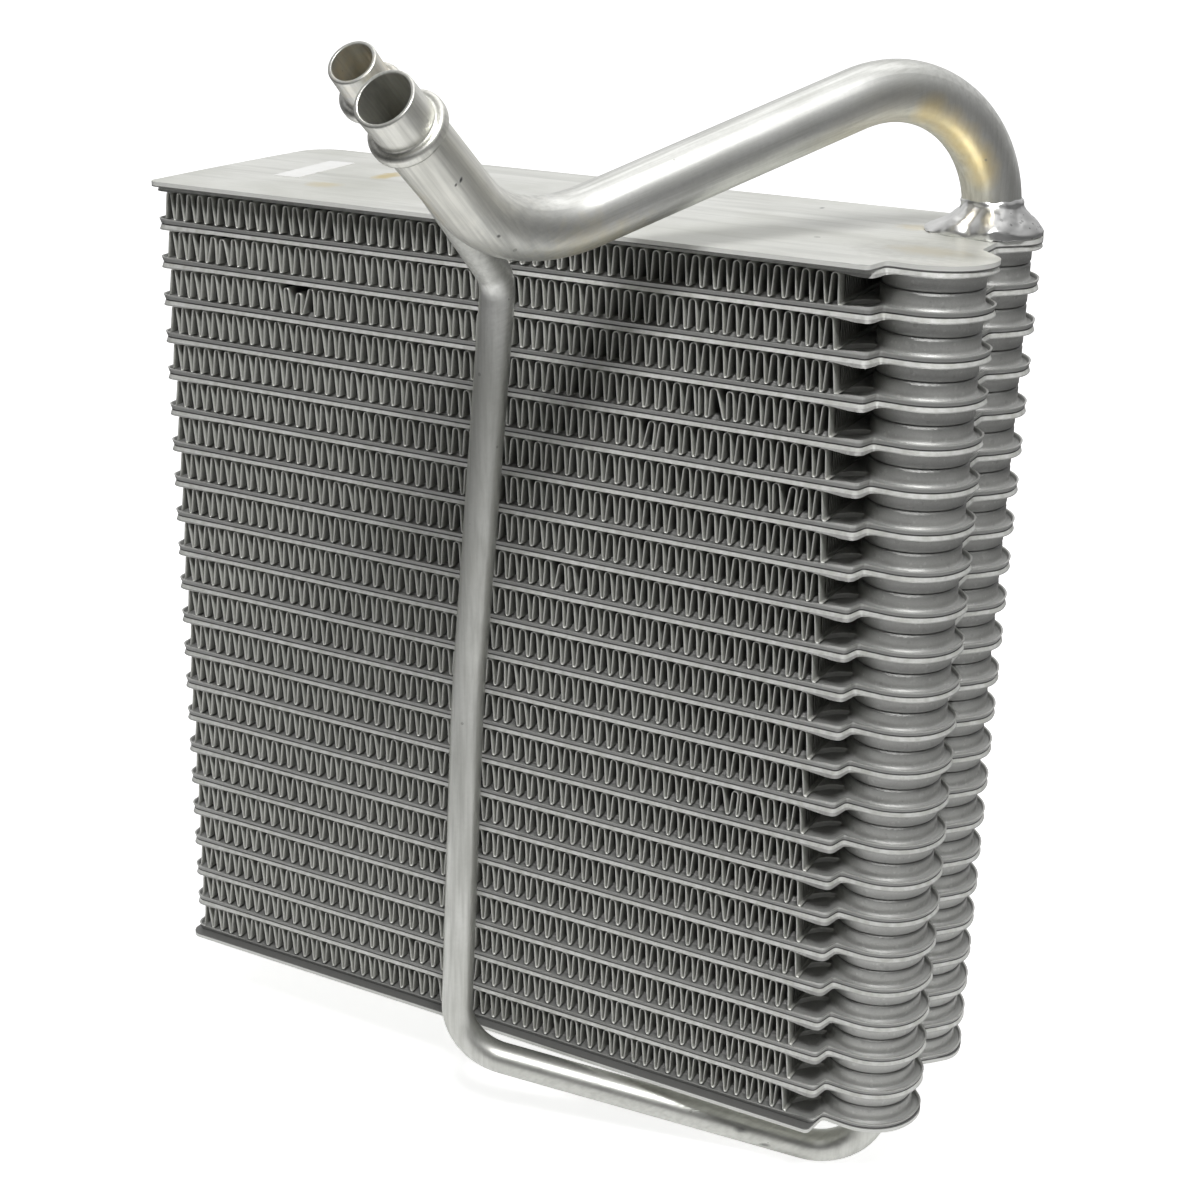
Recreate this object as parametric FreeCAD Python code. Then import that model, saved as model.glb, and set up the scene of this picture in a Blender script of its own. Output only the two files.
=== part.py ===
"""Laminated evaporator core: stamped tube plates, corrugated fins, two end plates and two pipes.

Millimetres. X runs along the plates, from the closed far end to the cups. Y is the depth of
the core, with the front at minus Y. Z is the stack, and Z = 0 is the underside of the lower
end plate. X = 0 and Y = 0 are the middle of the finned block.
"""
import FreeCAD, Part
import math
import os

# Stack
ROWS = 22
PITCH = 11.45
SHEET = 0.5
TUBE_HALF = 1.45
END_SHEET = 1.5

# Plate outline at the seam
HALF_DEPTH = 40.35
FAR_X = -114.4
FAR_RADIUS = 1000.0
FAR_SLANT = 0.03
FRONT_CORNER = 3.5
BACK_CORNER = 10.0
STEP_X = 112.15
STEP_RUN = 1.4
STEP_CORNER = 1.6
STEP_INNER_CORNER = 1.35
FLANGE = 2.3
NECK_INSET = 0.8
LOBE_SHOULDER = 4.9
LOBE_SHOULDER_RADIUS = 9.3
WEB_X = 129.4
WEB_HALF = 6.4
NOTCH_RADIUS = 2.4

# Flared rim of a tube plate: how far it leans out at its tallest, and its height along X
LIP_RISE = 2.1
LIP_FLARE = 0.75
LIP_LINE = (
    (FAR_X - 5.0, 1.65),
    (FAR_X + 6.0, 1.65),
    (FAR_X + 22.0, 1.2),
    (STEP_X - 22.0, 1.2),
    (STEP_X - 10.0, 1.45),
    (STEP_X - 3.0, LIP_RISE),
    (STEP_X + 0.5, LIP_RISE),
    (STEP_X + 4.0, 1.45),
    (STEP_X + 40.0, 1.45),
)
LIP_BEND = 8.0
SEAM_BEVEL = 0.2

# Cups
CUP_X = 121.4
CUP_Y = 19.9
CUP_RADIUS = 13.4
CUP_FILLET = 1.8
CUP_CORNER = 0.8
FLOW_HOLE = 9.0

# Refrigerant channel pressed into each plate
LAND = 3.5
RIB_HALF = 1.9
RIB_ROUND = 1.8
RIB_END = 18.0
CHANNEL_CORNER = 6.0
MOUTH_HALF = 9.0
MOUTH_LENGTH = 20.0
MOUTH_CORNER = 1.5
MOUTH_INNER_CORNER = 4.0

# How far the end plates stand past the tube plates
END_LEDGE = 3.15
END_FAR_LEDGE = 0.4
END_LOBE_LEDGE = 0.6

# Fins
FIN_SHEET = 0.15
FIN_WAVES = 56
FIN_CREST = 0.8
FIN_SETBACK = 0.15
FIN_FAR_SETBACK = 2.8
FIN_CUP_GAP = 2.5

# Pipes. A foot is placed from the cup that carries it. The other corners are placed in X from that
# cup, in Y from the front of the core, and in Z from the end plate the pipe's end is nearest to.
SUCTION_RADIUS = 7.94
SUCTION_WALL = 1.5
SUCTION_SPIGOT = 7.45
SUCTION_BEAD = 9.65
SUCTION_BEAD_BACK = 11.5
SUCTION_FOOT = (1.4, 0.9)
SUCTION_RISE = 51.9
SUCTION_DIP = (-85.9, -47.75, 2.3)
SUCTION_MOUTH = (-87.6, -97.95, 43.0)
SUCTION_BENDS = (33.5, 34.6)
LIQUID_RADIUS = 4.765
LIQUID_WALL = 1.0
LIQUID_SPIGOT = 6.0
LIQUID_SPIGOT_WALL = 1.0
LIQUID_BEAD = 8.0
LIQUID_BEAD_BACK = 11.1
LIQUID_FOOT = (2.6, 1.3)
LIQUID_DROP = -21.4
LIQUID_CORNER = (-120.3, -17.95, 2.5)
LIQUID_BOW = (-118.6, -13.45, 117.0)
LIQUID_HEEL = (-106.1, -17.85, -11.9)
LIQUID_MOUTH = (-104.6, -85.15, 48.5)
LIQUID_BENDS = (17.4, 17.5, 262.0, 11.0)
BEAD_LENGTH = 3.4
BEAD_ROUND = 1.2
BEAD_BLEND = 0.5
RIM_ROUND = 0.45
PIPE_ENTRY = 1.0
PIPE_FIT = 0.1

# Welds at the feet of the pipes
SUCTION_WELD_WIDTH = 6.1
SUCTION_WELD_RISE = 10.0
LIQUID_WELD_WIDTH = 3.0
LIQUID_WELD_RISE = 3.6
WELD_FEATHER = 0.4

# Blank sticker on the upper end plate
STICKER_SIZE = (8.9, 34.0)
STICKER_CENTRE = (-87.3, 3.9)
STICKER_TURN = 5.2
STICKER_SHEET = 0.15

# Places that follow from the sizes above
LOWEST_SEAM = END_SHEET
HIGHEST_SEAM = LOWEST_SEAM + ROWS * PITCH
TOP = HIGHEST_SEAM + END_SHEET
LOBE_RADIUS = CUP_RADIUS + FLANGE
NECK_HALF = CUP_Y + LOBE_RADIUS - NECK_INSET
FIN_HALF_DEPTH = HALF_DEPTH - FIN_SETBACK
FIN_START_X = FAR_X + FIN_FAR_SETBACK
FIN_END_X = CUP_X - CUP_RADIUS - FIN_CUP_GAP
Z_AXIS = FreeCAD.Vector(0, 0, 1)
NO_LENGTH = 1e-6


def rounded_path(points, radii, closed=False):
    """Straight runs joined by tangent arcs. An open path keeps its two end points."""
    corners = [FreeCAD.Vector(*point) for point in points]
    count = len(corners)
    stations = []
    for index, corner in enumerate(corners):
        if radii[index] == 0 or (not closed and index in (0, count - 1)):
            stations.append((corner, None, corner))
            continue
        back = (corners[index - 1] - corner).normalize()
        ahead = (corners[(index + 1) % count] - corner).normalize()
        half_turn = (math.pi - back.getAngle(ahead)) / 2
        reach = radii[index] * math.tan(half_turn)
        inset = radii[index] * (1 / math.cos(half_turn) - 1)
        middle = corner + (back + ahead).normalize() * inset
        stations.append((corner + back * reach, middle, corner + ahead * reach))
    edges = []
    for index, (start, middle, end) in enumerate(stations):
        if middle is not None:
            edges.append(Part.Arc(start, middle, end).toShape())
        if closed or index < count - 1:
            following = stations[(index + 1) % count][0]
            if end.distanceToPoint(following) > NO_LENGTH:
                edges.append(Part.LineSegment(end, following).toShape())
    return Part.Wire(edges)


def grown(corners, growth):
    """An anticlockwise outline with its sides moved outwards and its round corners concentric."""
    count = len(corners)
    sides = []
    for index in range(count):
        x_start, y_start, _ = corners[index]
        x_end, y_end, _ = corners[(index + 1) % count]
        length = math.hypot(x_end - x_start, y_end - y_start)
        x_normal = (y_end - y_start) / length
        y_normal = (x_start - x_end) / length
        offset = x_normal * x_start + y_normal * y_start + growth
        sides.append((x_normal, y_normal, offset))
    moved = []
    for index in range(count):
        x_before, y_before, before = sides[index - 1]
        x_after, y_after, after = sides[index]
        turn = x_before * y_after - y_before * x_after
        x = (before * y_after - after * y_before) / turn
        y = (x_before * after - x_after * before) / turn
        moved.append((x, y, corners[index][2] + (growth if turn > 0 else -growth)))
    return moved


def level_wire(corners, growth, z):
    """The grown outline as a closed wire at one height."""
    outline = grown(corners, growth)
    points = [(x, y, z) for x, y, _ in outline]
    return rounded_path(points, [radius for _, _, radius in outline], closed=True)


def tapered(corners, low, high):
    """A solid between two heights, each given as (growth, z)."""
    wires = [level_wire(corners, growth, z) for growth, z in (low, high)]
    return Part.makeLoft(wires, True, True)


def far_end(x, half_depth):
    """The bulged far end: the X of its corners, and its middle corner with the bulge's radius."""
    apex_x = x - FAR_RADIUS * (math.hypot(1, FAR_SLANT) - 1)
    return apex_x + FAR_SLANT * half_depth, (apex_x, 0, FAR_RADIUS)


def plate_corners(half_depth, far_x, lobe_radius):
    """Outline of a plate: bulged far end, shoulders, and two lobes with a notch between."""
    tip_x = CUP_X + lobe_radius
    lobe_y = CUP_Y + lobe_radius
    corner_x, apex = far_end(far_x, half_depth)
    front = [
        (corner_x, -half_depth, FRONT_CORNER),
        (STEP_X, -half_depth, STEP_CORNER),
        (STEP_X + STEP_RUN, -NECK_HALF, STEP_INNER_CORNER),
        (tip_x, -lobe_y, lobe_radius),
        (tip_x, LOBE_SHOULDER - CUP_Y, LOBE_SHOULDER_RADIUS),
        (WEB_X, -WEB_HALF, NOTCH_RADIUS),
    ]
    back = [(x, -y, radius) for x, y, radius in reversed(front)]
    back[-1] = (corner_x, half_depth, BACK_CORNER)
    return front + back + [apex]


def channel_corners():
    """Outline of the channel: two legs from the cups, joined round the far end of the rib."""
    leg_y = HALF_DEPTH - LAND
    corner_x, apex = far_end(FAR_X + LAND, leg_y)
    mouth_x = CUP_X - CUP_RADIUS
    outer_y = CUP_Y + MOUTH_HALF
    inner_y = CUP_Y - MOUTH_HALF
    front = [
        (corner_x, -leg_y, CHANNEL_CORNER),
        (CUP_X - MOUTH_LENGTH, -leg_y, CHANNEL_CORNER),
        (mouth_x, -outer_y, CHANNEL_CORNER),
        (CUP_X, -outer_y, MOUTH_CORNER),
        (CUP_X, -inner_y, MOUTH_CORNER),
        (mouth_x, -inner_y, CHANNEL_CORNER),
        (CUP_X - MOUTH_LENGTH, -RIB_HALF, MOUTH_INNER_CORNER),
        (FAR_X + RIB_END, -RIB_HALF, RIB_ROUND),
    ]
    back = [(x, -y, radius) for x, y, radius in reversed(front)]
    return front + back + [apex]


def revolved(section, x, y):
    """A closed section of (radius, z) points and corner radii, turned about an upright axis."""
    points = [(radius, 0, z) for radius, z, _ in section]
    wire = rounded_path(points, [corner for _, _, corner in section], closed=False)
    closing = Part.LineSegment(FreeCAD.Vector(*points[-1]), FreeCAD.Vector(*points[0]))
    face = Part.Face(Part.Wire(wire.Edges + [closing.toShape()]))
    solid = face.revolve(FreeCAD.Vector(0, 0, 0), Z_AXIS, 360)
    solid.translate(FreeCAD.Vector(x, y, 0))
    return solid


def cup(inset, y):
    """The outer form of a drawn cup, or its hollow when it is inset by the sheet."""
    wall = CUP_RADIUS - inset
    floor = SHEET - inset
    foot = CUP_RADIUS + CUP_FILLET
    top = PITCH / 2 - inset
    section = [
        (0, floor - SHEET, 0),
        (foot, floor - SHEET, 0),
        (foot, floor, 0),
        (wall, floor, CUP_FILLET + inset),
        (wall, top, CUP_CORNER - inset),
        (0, top, 0),
    ]
    return revolved(section, CUP_X, y)


def lip_relief():
    """The room over a plate whose underside sets how tall the rim stands at each place along X."""
    roof = LIP_RISE + 4 * SHEET
    line = [(LIP_LINE[0][0], roof)] + list(LIP_LINE) + [(LIP_LINE[-1][0], roof)]
    points = [(x, -2 * HALF_DEPTH, z) for x, z in line]
    bends = [0, 0] + [LIP_BEND] * (len(LIP_LINE) - 2) + [0, 0]
    face = Part.Face(rounded_path(points, bends, closed=True))
    return face.extrude(FreeCAD.Vector(0, 4 * HALF_DEPTH, 0))


def plate_half():
    """One stamped plate with its seam face at Z = 0 and its channel and cups above it."""
    outline = plate_corners(HALF_DEPTH, FAR_X, LOBE_RADIUS)
    flare = LIP_FLARE / LIP_RISE
    lip_width = SHEET * math.hypot(1, flare)
    above = LIP_RISE + SHEET
    roof = above + SHEET
    bevel_top = (flare * SEAM_BEVEL, SEAM_BEVEL)
    dish = tapered(outline, (-SEAM_BEVEL, 0), bevel_top).fuse(tapered(outline, bevel_top, (flare * above, above)))
    hollow = tapered(outline, (flare * SHEET - lip_width, SHEET), (flare * roof - lip_width, roof))
    plate = dish.cut([hollow, lip_relief()])
    channel = channel_corners()
    slant_width = SHEET * math.sqrt(2)
    rise = TUBE_HALF - SHEET
    pressing = tapered(channel, (SHEET, 0), (-rise, TUBE_HALF))
    passage = tapered(channel, (2 * SHEET - slant_width, -SHEET), (SHEET - rise - slant_width, rise))
    plate = plate.fuse(pressing)
    hollows = [passage]
    for y in (-CUP_Y, CUP_Y):
        plate = plate.fuse(cup(0, y))
        hollows.append(cup(SHEET, y))
        hollows.append(Part.makeCylinder(FLOW_HOLE, PITCH, FreeCAD.Vector(CUP_X, y, 0)))
    return plate.cut(hollows)


def end_plate(hole_centre, hole_radius):
    """A flat end plate, with one hole for its pipe, standing on Z = 0."""
    outline = plate_corners(HALF_DEPTH + END_LEDGE, FAR_X - END_FAR_LEDGE, LOBE_RADIUS + END_LOBE_LEDGE)
    blank = Part.Face(level_wire(outline, 0, 0)).extrude(Z_AXIS * END_SHEET)
    centre = FreeCAD.Vector(hole_centre[0], hole_centre[1], -END_SHEET)
    return blank.cut(Part.makeCylinder(hole_radius, 3 * END_SHEET, centre))


def fin_edge(side):
    """One face of the fin sheet seen from the front, as arcs over the crests and straight legs."""
    half_pitch = (FIN_END_X - FIN_START_X) / FIN_WAVES / 2
    low = FIN_SHEET / 2 + FIN_CREST
    high = PITCH - 2 * TUBE_HALF - low
    rise = high - low
    lean = math.atan2(half_pitch, rise) - math.asin(2 * FIN_CREST / math.hypot(half_pitch, rise))
    last = 2 * FIN_WAVES
    stations = []
    for index in range(last + 1):
        up = 1 if index % 2 else -1
        centre = FreeCAD.Vector(FIN_START_X + index * half_pitch, -FIN_HALF_DEPTH, high if up == 1 else low)
        bend = FIN_CREST + side * up * FIN_SHEET / 2
        first_turn = 0 if index == 0 else lean - math.pi / 2
        last_turn = 0 if index == last else math.pi / 2 - lean
        turns = (first_turn, (first_turn + last_turn) / 2, last_turn)
        stations.append([centre + FreeCAD.Vector(math.sin(turn), 0, up * math.cos(turn)) * bend for turn in turns])
    edges = [Part.Arc(*station).toShape() for station in stations]
    for before, after in zip(stations, stations[1:]):
        edges.append(Part.LineSegment(before[-1], after[0]).toShape())
    return edges, stations[0][0], stations[-1][-1]


def fin_solid():
    """One corrugated fin strip, from Z = 0 up to its full height."""
    faces = [fin_edge(side) for side in (-1, 1)]
    edges = faces[0][0] + faces[1][0]
    for end in (1, 2):
        edges.append(Part.LineSegment(faces[0][end], faces[1][end]).toShape())
    wire = Part.Wire(Part.__sortEdges__(edges))
    return Part.Face(wire).extrude(FreeCAD.Vector(0, 2 * FIN_HALF_DEPTH, 0))


def pipe_end(outer, bore, bead, spigot, spigot_bore, bead_back):
    """The beaded end of a pipe, turned about Z, from Z = 0 to its mouth."""
    bead_middle = BEAD_LENGTH / 2 + 2 * BEAD_BLEND
    mouth = bead_middle + bead_back
    low = bead_middle - BEAD_LENGTH / 2
    high = bead_middle + BEAD_LENGTH / 2
    outside = [
        (outer, 0, 0),
        (outer, low, BEAD_BLEND),
        (bead, low, BEAD_ROUND),
        (bead, high, BEAD_ROUND),
        (spigot, high, BEAD_BLEND),
        (spigot, mouth, RIM_ROUND),
    ]
    inside = [(spigot_bore, mouth, RIM_ROUND / 2)]
    if spigot_bore != bore:
        inside += [(spigot_bore, high, BEAD_BLEND), (bore, low, BEAD_BLEND)]
    inside.append((bore, 0, 0))
    return revolved(outside + inside, 0, 0), mouth


def swept(points, bends, radius):
    """A solid round bar along a bent route, and the route."""
    path = rounded_path(points, [0] + list(bends) + [0])
    start = FreeCAD.Vector(*points[0])
    along = (FreeCAD.Vector(*points[1]) - start).normalize()
    disc = Part.Face(Part.Wire(Part.makeCircle(radius, start, along)))
    return path.makePipe(disc), path


def pipe(points, bends, outer, wall, bead, spigot, spigot_bore, bead_back):
    """A bent pipe from its foot to its beaded mouth."""
    bore = outer - wall
    end, end_length = pipe_end(outer, bore, bead, spigot, spigot_bore, bead_back)
    mouth = FreeCAD.Vector(*points[-1])
    heading = (mouth - FreeCAD.Vector(*points[-2])).normalize()
    joint = mouth - heading * end_length
    route = list(points[:-1]) + [tuple(joint)]
    bar, path = swept(route, bends, outer)
    hollow, _ = swept(route, bends, bore)
    tube = bar.cut(hollow)
    expected = math.pi * (outer ** 2 - bore ** 2) * path.Length
    print("pipe volume over section times length", round(tube.Volume / expected, 5))
    end.Placement = FreeCAD.Placement(joint, FreeCAD.Rotation(Z_AXIS, heading))
    return tube.fuse(end).removeSplitter()


def weld(points, bends, outer, width, rise, plate_z, up):
    """A concave weld collar that hugs a pipe's foot, on the upper or lower face of a plate."""
    rim = outer + WELD_FEATHER
    foot = outer + width
    corners = [(0, 0), (foot, 0), (foot - WELD_FEATHER, WELD_FEATHER), (rim, rise), (0, rise)]
    corners = [FreeCAD.Vector(radius, 0, up * z) for radius, z in corners]
    hollow = FreeCAD.Vector(rim + 0.26 * (foot - rim), 0, up * 0.34 * rise)
    edges = [Part.LineSegment(corners[index - 1], corners[index]).toShape() for index in (0, 1, 2, 4)]
    edges.append(Part.Arc(corners[2], hollow, corners[3]).toShape())
    wire = Part.Wire(Part.__sortEdges__(edges))
    collar = Part.Face(wire).revolve(FreeCAD.Vector(0, 0, 0), Z_AXIS, 360)
    collar.translate(FreeCAD.Vector(points[0][0], points[0][1], plate_z))
    return collar.cut(swept(points[:3], bends[:1], outer + PIPE_FIT / 2)[0])


def sticker():
    """A thin oblong sheet lying on Z = 0, turned a little from the depth of the core."""
    width, length = STICKER_SIZE
    sheet = Part.makeBox(width, length, STICKER_SHEET, FreeCAD.Vector(-width / 2, -length / 2, 0))
    sheet.rotate(FreeCAD.Vector(0, 0, 0), Z_AXIS, STICKER_TURN)
    sheet.translate(FreeCAD.Vector(STICKER_CENTRE[0], STICKER_CENTRE[1], 0))
    return sheet


def placed(shape, z, underside=False):
    """A copy of a shape at a height, turned over through its seam face when it hangs below."""
    copy = shape.mirror(FreeCAD.Vector(0, 0, 0), Z_AXIS) if underside else shape.copy()
    copy.translate(FreeCAD.Vector(0, 0, z))
    return copy


def save(node, *solids):
    """Writes one named piece, checked to be sound, as its own file."""
    parts = [solid for shape in solids for solid in shape.Solids]
    for solid in parts:
        if not solid.isValid() or solid.Volume <= 0:
            raise ValueError(node + " is not a sound solid")
    shape = parts[0] if len(parts) == 1 else Part.makeCompound(parts)
    shape.exportStep("parts/" + node + ".step")
    print(node, len(parts), "solids", round(shape.Volume), "mm3", len(shape.Faces), "faces")


def routes():
    """The two pipes' corner points, from the cup under or over each pipe's foot."""
    x, y = SUCTION_FOOT
    suction = [(CUP_X + x, CUP_Y + y, TOP + z) for z in (-END_SHEET - PIPE_ENTRY, SUCTION_RISE)]
    suction += [(CUP_X + x, y - HALF_DEPTH, TOP + z) for x, y, z in (SUCTION_DIP, SUCTION_MOUTH)]
    x, y = LIQUID_FOOT
    liquid = [(CUP_X + x, y - CUP_Y, z) for z in (END_SHEET + PIPE_ENTRY, LIQUID_DROP)]
    liquid += [(CUP_X + x, y - HALF_DEPTH, z) for x, y, z in (LIQUID_CORNER, LIQUID_BOW)]
    liquid += [(CUP_X + x, y - HALF_DEPTH, TOP + z) for x, y, z in (LIQUID_HEEL, LIQUID_MOUTH)]
    return suction, liquid


def main():
    os.makedirs("parts", exist_ok=True)
    suction, liquid = routes()
    half = plate_half()
    save("end_plate_bottom", end_plate(liquid[0], LIQUID_RADIUS + PIPE_FIT))
    save("tube_plate_bottom", placed(half, LOWEST_SEAM))
    fin = fin_solid()
    for row in range(ROWS):
        seam = LOWEST_SEAM + row * PITCH
        save("fin_%02d" % (row + 1), placed(fin, seam + TUBE_HALF))
        if row:
            save("tube_%02d" % row, placed(half, seam), placed(half, seam, underside=True))
    save("tube_plate_top", placed(half, HIGHEST_SEAM, underside=True))
    save("end_plate_top", placed(end_plate(suction[0], SUCTION_RADIUS + PIPE_FIT), HIGHEST_SEAM))
    save("blank_sticker", placed(sticker(), TOP))
    save("suction_pipe", pipe(suction, SUCTION_BENDS, SUCTION_RADIUS, SUCTION_WALL, SUCTION_BEAD,
                              SUCTION_SPIGOT, SUCTION_RADIUS - SUCTION_WALL, SUCTION_BEAD_BACK))
    save("liquid_pipe", pipe(liquid, LIQUID_BENDS, LIQUID_RADIUS, LIQUID_WALL, LIQUID_BEAD,
                             LIQUID_SPIGOT, LIQUID_SPIGOT - LIQUID_SPIGOT_WALL, LIQUID_BEAD_BACK))
    save("suction_weld", weld(suction, SUCTION_BENDS, SUCTION_RADIUS, SUCTION_WELD_WIDTH,
                              SUCTION_WELD_RISE, TOP, 1))
    save("liquid_weld", weld(liquid, LIQUID_BENDS, LIQUID_RADIUS, LIQUID_WELD_WIDTH,
                             LIQUID_WELD_RISE, 0, -1))


main()
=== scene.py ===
import math
import random

import bpy
import bmesh
from mathutils import Matrix, Vector, noise


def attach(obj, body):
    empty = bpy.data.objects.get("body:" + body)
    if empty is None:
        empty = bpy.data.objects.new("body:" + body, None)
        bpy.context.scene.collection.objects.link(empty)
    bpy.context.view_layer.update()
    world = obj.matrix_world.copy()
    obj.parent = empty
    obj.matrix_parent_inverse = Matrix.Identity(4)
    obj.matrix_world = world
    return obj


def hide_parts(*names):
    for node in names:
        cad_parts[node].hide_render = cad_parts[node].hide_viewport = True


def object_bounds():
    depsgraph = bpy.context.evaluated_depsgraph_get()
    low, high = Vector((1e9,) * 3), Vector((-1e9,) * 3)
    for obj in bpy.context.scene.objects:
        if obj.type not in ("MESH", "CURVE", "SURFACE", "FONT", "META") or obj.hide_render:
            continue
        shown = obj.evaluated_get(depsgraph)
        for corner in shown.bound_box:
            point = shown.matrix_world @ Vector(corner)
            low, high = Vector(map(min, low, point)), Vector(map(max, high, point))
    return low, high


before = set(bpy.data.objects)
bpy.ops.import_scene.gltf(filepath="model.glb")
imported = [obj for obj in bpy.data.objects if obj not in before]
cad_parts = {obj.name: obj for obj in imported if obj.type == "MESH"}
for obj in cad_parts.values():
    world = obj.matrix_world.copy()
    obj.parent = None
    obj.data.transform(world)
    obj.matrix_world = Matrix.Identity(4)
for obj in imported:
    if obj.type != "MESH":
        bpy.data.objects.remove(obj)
cad_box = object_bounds()

# One millimetre in the scene's metres
MM = 0.001

# Sizes of the core, in millimetres, as its plates are stacked
ROWS = 22
PITCH = 11.45
END_SHEET = 1.5
TUBE_HALF = 1.45
TOP = 2 * END_SHEET + ROWS * PITCH

# Fins
FIN_FIRST_X = -111.6
FIN_LAST_X = 105.5
FIN_HALF_DEPTH = 40.2
FIN_SHEET = 0.15
FIN_WAVES = 56

# Feet of the pipes
SUCTION_FOOT = (122.8, 20.8)
SUCTION_RADIUS = 7.94
LIQUID_FOOT = (124.0, -18.6)
LIQUID_RADIUS = 4.765

# Where the plates' shoulders end and their cups begin, and the height of a plate's rim
CUPS_X = 106.0
LIP = 1.2


def linked(name, data):
    """A new object in the scene."""
    piece = bpy.data.objects.new(name, data)
    bpy.context.collection.objects.link(piece)
    return piece


# Shader building

def tree_of(owner):
    """An empty node tree of a material or a world."""
    owner.use_nodes = True
    owner.node_tree.nodes.clear()
    return owner.node_tree


def add(tree, kind, inputs=None, **settings):
    """A node with its settings and its inputs; an input is a value or another node's output."""
    node = tree.nodes.new(kind)
    for key, value in settings.items():
        setattr(node, key, value)
    for key, value in (inputs or {}).items():
        socket = node.inputs[key]
        if isinstance(value, bpy.types.NodeSocket):
            tree.links.new(value, socket)
        else:
            socket.default_value = value
    return node


def maths(tree, operation, first, second=0.0):
    """The result of one operation on values or outputs."""
    return add(tree, "ShaderNodeMath", {0: first, 1: second}, operation=operation).outputs[0]


def ramp(tree, factor, low, high, start=0.0, end=1.0):
    """Maps a value from low..high to start..end, clamped."""
    node = add(tree, "ShaderNodeMapRange",
               {"Value": factor, "From Min": low, "From Max": high, "To Min": start, "To Max": end})
    return node.outputs["Result"]


def ramp_mm(tree, factor, low, high, start=0.0, end=1.0):
    """The same for a length, with its limits in millimetres."""
    return ramp(tree, factor, low * MM, high * MM, start, end)


def mixed(tree, factor, first, second):
    """A colour between two colours."""
    node = add(tree, "ShaderNodeMix", data_type="RGBA")
    for index, value in ((0, factor), (6, first), (7, second)):
        if isinstance(value, bpy.types.NodeSocket):
            tree.links.new(value, node.inputs[index])
        else:
            node.inputs[index].default_value = value
    return node.outputs[2]


def painted(tree, base, mask, strength, colour):
    """The base with a colour laid over it where the mask is."""
    return mixed(tree, maths(tree, "MULTIPLY", mask, strength), base, colour)


def axes(tree, place):
    """The X, Y and Z of a place."""
    return add(tree, "ShaderNodeSeparateXYZ", {0: place}).outputs


def noise_at(tree, place, scale, detail):
    """The noise value at a place."""
    return add(tree, "ShaderNodeTexNoise", {"Vector": place, "Scale": scale, "Detail": detail}).outputs[0]


def effect(name, inputs, outputs, build):
    """A shader node group with named sockets, filled in by build(tree, inputs, outputs)."""
    group = bpy.data.node_groups.new(name, "ShaderNodeTree")
    for socket, (kind, value) in inputs.items():
        made = group.interface.new_socket(socket, in_out="INPUT", socket_type=kind)
        if value is not None:
            made.default_value = value
    for socket, kind in outputs.items():
        group.interface.new_socket(socket, in_out="OUTPUT", socket_type=kind)
    entry = group.nodes.new("NodeGroupInput")
    leave = group.nodes.new("NodeGroupOutput")
    for socket, value in build(group, entry.outputs).items():
        group.links.new(value, leave.inputs[socket])
    return group


def use(tree, group, **values):
    """Places an effect in a material with its own values."""
    node = tree.nodes.new("ShaderNodeGroup")
    node.node_tree = group
    for key, value in values.items():
        socket = node.inputs[key.replace("_", " ")]
        if isinstance(value, bpy.types.NodeSocket):
            tree.links.new(value, socket)
        else:
            socket.default_value = value
    return node.outputs


FLOAT = "NodeSocketFloat"
VECTOR = "NodeSocketVector"
EVEN = (1.0, 1.0, 1.0)


def grain_effect():
    """Rolled grain as two values, one fine and one coarse."""
    def build(tree, given):
        place = add(tree, "ShaderNodeMapping", {"Vector": given["Place"], "Scale": given["Stretch"]})
        fine = add(tree, "ShaderNodeTexNoise",
                   {"Vector": place.outputs[0], "Scale": given["Scale"], "Detail": 4.0, "Roughness": 0.65})
        coarse = noise_at(tree, place.outputs[0], maths(tree, "MULTIPLY", given["Scale"], 0.08), 2.0)
        return {"Fine": fine.outputs[0], "Coarse": coarse}
    inputs = {"Place": (VECTOR, None), "Stretch": (VECTOR, EVEN), "Scale": (FLOAT, 900.0)}
    return effect("rolled_grain", inputs, {"Fine": FLOAT, "Coarse": FLOAT}, build)


def speck_effect():
    """Small scattered specks as a mask."""
    def build(tree, given):
        cells = add(tree, "ShaderNodeTexVoronoi", {"Vector": given["Place"], "Scale": given["Scale"]})
        pick = add(tree, "ShaderNodeSeparateColor", {0: cells.outputs["Color"]})
        chosen = maths(tree, "LESS_THAN", pick.outputs[0], given["Share"])
        size = maths(tree, "MULTIPLY", pick.outputs[1], given["Size"])
        painted_depth_shade = maths(tree, "LESS_THAN", cells.outputs["Distance"], size)
        return {"Mask": maths(tree, "MULTIPLY", painted_depth_shade, chosen)}
    inputs = {"Place": (VECTOR, None), "Scale": (FLOAT, 300.0), "Share": (FLOAT, 0.02),
              "Size": (FLOAT, 0.3)}
    return effect("specks", inputs, {"Mask": FLOAT}, build)


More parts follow.
